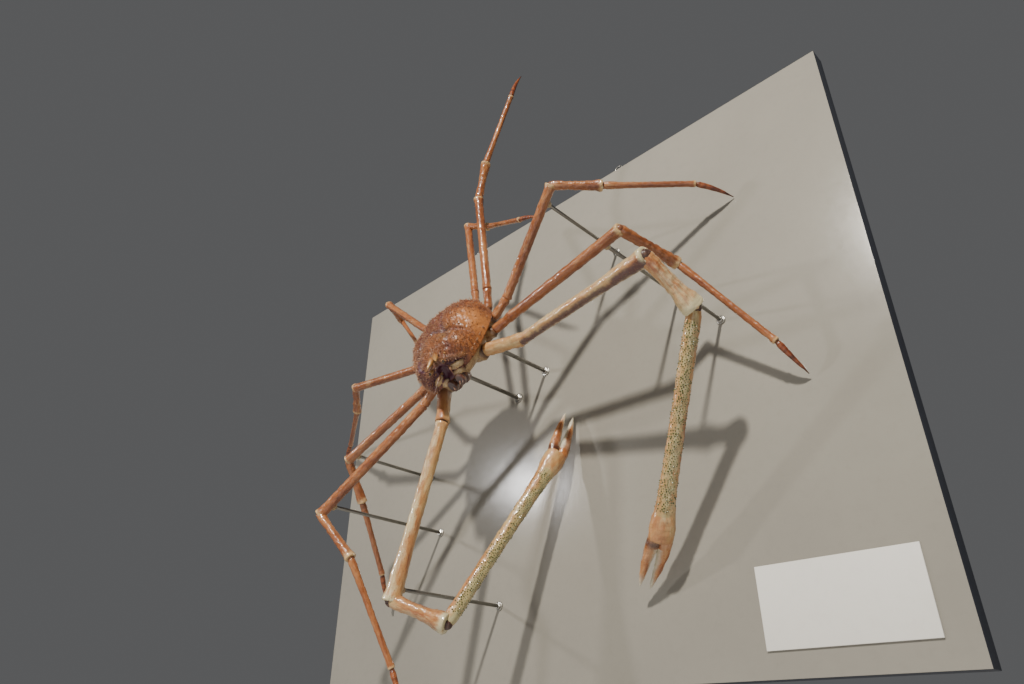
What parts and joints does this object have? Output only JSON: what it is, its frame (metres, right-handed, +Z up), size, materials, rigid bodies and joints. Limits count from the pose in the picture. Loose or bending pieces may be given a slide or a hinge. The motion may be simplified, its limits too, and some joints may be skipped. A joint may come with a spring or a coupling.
{
  "type": "mounted spider crab specimen",
  "caption": "Varnished Japanese spider crab held on steel rods in front of a grey hanging display board with a bare name plate.",
  "frame": {"origin": "centre of the display board's back face, which hangs against the wall", "axes": "+X to the visitor's right along the board, +Y into the wall, +Z up; the crab stands out towards -Y, head down"},
  "size_m": [2.4696, 0.5971, 2.3702],
  "materials": {
    "board": "satin warm grey paint with dark edges",
    "plate": "matt off-white",
    "steel": "dull grey steel",
    "carapace_shell": "glossy varnished red-brown shell with pale tubercles",
    "leg_shell": "varnished orange-red shell, mottled, pale at the joints",
    "claw_shell": "varnished cream and yellow-green shell with orange mottling",
    "pale_shell": "cream to tan shell, satin varnish",
    "finger_shell": "dark red-brown shell, ringed, darker at the tip",
    "eye": "glossy black"
  },
  "bodies": {
    "root": {"display_board": "board", "name_plate": "plate", "eye_bolt_left": "steel", "eye_bolt_right": "steel", "carapace": "carapace_shell", "underside": "pale_shell", "abdomen": "pale_shell", "mouthparts": "pale_shell", "eye_left": "eye", "antenna_left": "pale_shell", "eye_right": "eye", "antenna_right": "pale_shell", "cheliped_left_merus": "claw_shell", "cheliped_left_carpus": "claw_shell", "cheliped_left_hand": "claw_shell", "cheliped_left_finger": "finger_shell", "cheliped_right_merus": "claw_shell", "cheliped_right_carpus": "claw_shell", "cheliped_right_hand": "claw_shell", "cheliped_right_finger": "finger_shell", "leg_1_left_merus": "leg_shell", "leg_1_left_carpus": "leg_shell", "leg_1_left_propodus": "leg_shell", "leg_1_left_dactyl": "finger_shell", "leg_1_right_merus": "leg_shell", "leg_1_right_carpus": "leg_shell", "leg_1_right_propodus": "leg_shell", "leg_1_right_dactyl": "finger_shell", "leg_2_left_merus": "leg_shell", "leg_2_left_carpus": "leg_shell", "leg_2_left_propodus": "leg_shell", "leg_2_left_dactyl": "finger_shell", "leg_2_right_merus": "leg_shell", "leg_2_right_carpus": "leg_shell", "leg_2_right_propodus": "leg_shell", "leg_2_right_dactyl": "finger_shell", "leg_3_left_merus": "leg_shell", "leg_3_left_carpus": "leg_shell", "leg_3_left_propodus": "leg_shell", "leg_3_left_dactyl": "finger_shell", "leg_3_right_merus": "leg_shell", "leg_3_right_carpus": "leg_shell", "leg_3_right_propodus": "leg_shell", "leg_3_right_dactyl": "finger_shell", "leg_4_left_merus": "leg_shell", "leg_4_left_carpus": "leg_shell", "leg_4_left_propodus": "leg_shell", "leg_4_left_dactyl": "finger_shell", "leg_4_right_merus": "leg_shell", "leg_4_right_carpus": "leg_shell", "leg_4_right_propodus": "leg_shell", "leg_4_right_dactyl": "finger_shell", "rod_cheliped_left": "steel", "rod_cheliped_right": "steel", "rod_leg_1_left": "steel", "rod_leg_1_right": "steel", "rod_leg_2_left": "steel", "rod_leg_2_right": "steel", "rod_body_left": "steel", "rod_body_right": "steel"}
  },
  "joints": []
}
